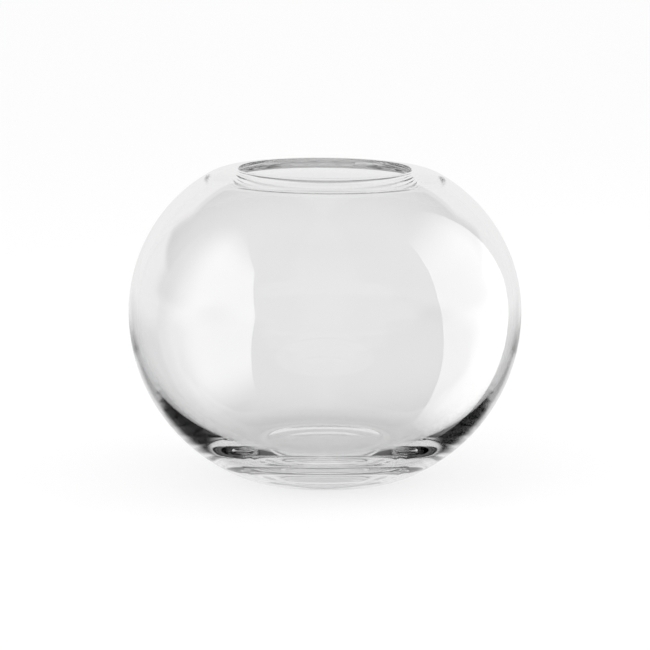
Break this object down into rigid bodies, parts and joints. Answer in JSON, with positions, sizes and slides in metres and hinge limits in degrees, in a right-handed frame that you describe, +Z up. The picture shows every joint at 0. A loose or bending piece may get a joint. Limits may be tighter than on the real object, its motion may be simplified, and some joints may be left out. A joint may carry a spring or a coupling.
{
  "type": "rose bowl vase",
  "caption": "Low round clear-glass bowl vase with a narrowed fire-polished mouth, thick floor and flat foot ring, for short flower stems.",
  "frame": {"origin": "centre of the foot's resting plane", "axes": "+Z up, along the axis of revolution; the body is round, so X and Y are equal"},
  "size_m": [0.18, 0.18, 0.1428],
  "materials": {
    "clear_glass": "clear, smooth, fire-polished"
  },
  "bodies": {
    "root": {"glass_bowl": "clear_glass"}
  },
  "joints": []
}
